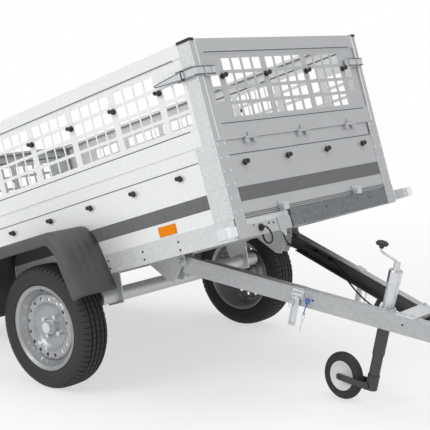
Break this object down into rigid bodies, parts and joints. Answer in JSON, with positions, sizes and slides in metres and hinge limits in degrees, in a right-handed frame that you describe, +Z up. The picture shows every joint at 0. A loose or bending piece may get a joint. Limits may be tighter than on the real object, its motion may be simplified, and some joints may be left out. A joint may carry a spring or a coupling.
{
  "type": "utility trailer",
  "caption": "Single-axle utility trailer with steel sides, mesh extensions and a folding V drawbar, its box tipped back, standing on its wheels and jockey wheel.",
  "frame": {"origin": "on the ground, under the middle of the part's bounding box", "axes": "+X to the trailer's right seen from behind, -Y towards the towing end, +Z up"},
  "size_m": [1.49, 3.0124, 1.4248],
  "materials": {
    "galvanised": "hot-dip galvanised",
    "side_sheet": "bright galvanised sheet",
    "front_sheet": "galvanised sheet",
    "plywood": "film-faced plywood",
    "band": "satin grey stripe",
    "fender": "grained polyethylene",
    "black_plastic": "moulded nylon",
    "lamp_white": "clear ribbed lens",
    "reflector": "amber prismatic reflector",
    "lamp_red": "red and amber lens",
    "zinc": "bright zinc plate",
    "rim": "silver paint",
    "tyre": "rubber",
    "cable": "black sheathed cable",
    "dark_steel": "dull galvanised steel"
  },
  "bodies": {
    "chassis": {"floor": "plywood", "side_rails": "galvanised", "front_rail": "galvanised", "rear_rail": "galvanised", "cross_members": "galvanised", "side_wall_left": "side_sheet", "side_wall_right": "side_sheet", "front_wall": "front_sheet", "lower_posts": "galvanised", "upper_posts": "galvanised", "post_caps": "black_plastic", "side_mesh_left": "side_sheet", "side_mesh_right": "side_sheet", "colour_bands": "band", "fender_left": "fender", "fender_right": "fender", "marker_lamps": "lamp_white", "side_reflectors": "reflector", "tail_lamps": "lamp_red", "corner_latches": "zinc", "drawbar_catches": "zinc", "cover_knobs": "black_plastic", "hinge_brackets": "galvanised", "hinge_pins": "zinc", "cable_clips": "black_plastic", "cable_loop": "cable", "axle_tube": "galvanised", "axle_brackets": "galvanised", "swing_arms": "galvanised"},
    "front_gate": {"front_mesh": "front_sheet", "front_mesh_knobs": "black_plastic"},
    "tailgate": {"tailgate": "front_sheet", "tailgate_knobs": "black_plastic"},
    "rear_gate": {"rear_mesh": "front_sheet", "rear_mesh_knobs": "black_plastic"},
    "wheel_left": {"rim_left": "rim", "tyre_left": "tyre", "hub_left": "zinc"},
    "wheel_right": {"rim_right": "rim", "tyre_right": "tyre", "hub_right": "zinc"},
    "drawbar": {"beam_left": "galvanised", "beam_right": "galvanised", "cross_plate": "galvanised", "coupling": "zinc", "coupling_handle": "black_plastic", "drawbar_latches": "zinc", "jockey_clamp": "zinc", "clamp_handle": "black_plastic", "jockey_sleeve": "galvanised", "jockey_crank": "zinc", "beam_clips": "black_plastic", "cable_run": "cable", "cable_plug": "black_plastic"},
    "jockey_leg": {"jockey_leg": "dark_steel"},
    "jockey_fork": {"jockey_fork": "dark_steel"},
    "jockey_wheel": {"jockey_rim": "rim", "jockey_tyre": "tyre"}
  },
  "joints": [
    {"name": "drawbar_fold", "type": "hinge", "parent": "chassis", "child": "drawbar", "pos_m": [0, -0.16268, 0.54779], "axis": [-1, 0, 0], "range_deg": [0, 29.4]},
    {"name": "wheel_left_spin", "type": "hinge", "parent": "chassis", "child": "wheel_left", "pos_m": [-0.636, 0.32147, 0.258], "axis": [1, 0, 0], "continuous": true},
    {"name": "wheel_right_spin", "type": "hinge", "parent": "chassis", "child": "wheel_right", "pos_m": [0.636, 0.32147, 0.258], "axis": [1, 0, 0], "continuous": true},
    {"name": "front_gate_fold", "type": "hinge", "parent": "chassis", "child": "front_gate", "pos_m": [0, -0.4744, 1.05757], "axis": [1, 0, 0], "range_deg": [0, 90]},
    {"name": "tailgate_fold", "type": "hinge", "parent": "chassis", "child": "tailgate", "pos_m": [0, 1.29776, 0.1658], "axis": [-1, 0, 0], "range_deg": [0, 130]},
    {"name": "rear_gate_fold", "type": "hinge", "parent": "tailgate", "child": "rear_gate", "pos_m": [0, 1.38776, 0.45252], "axis": [-1, 0, 0], "range_deg": [0, 90]},
    {"name": "jockey_slide", "type": "slide", "parent": "drawbar", "child": "jockey_leg", "axis": [0, 0.1977, -0.9803], "range_m": [-0.08, 0.08]},
    {"name": "jockey_swivel", "type": "hinge", "parent": "jockey_leg", "child": "jockey_fork", "pos_m": [-0.06, -0.84867, 0.07452], "axis": [0, -0.1977, 0.9803], "continuous": true},
    {"name": "jockey_wheel_spin", "type": "hinge", "parent": "jockey_fork", "child": "jockey_wheel", "pos_m": [-0.03732, -0.70689, 0.09596], "axis": [0.9877, -0.1533, -0.0309], "continuous": true}
  ]
}
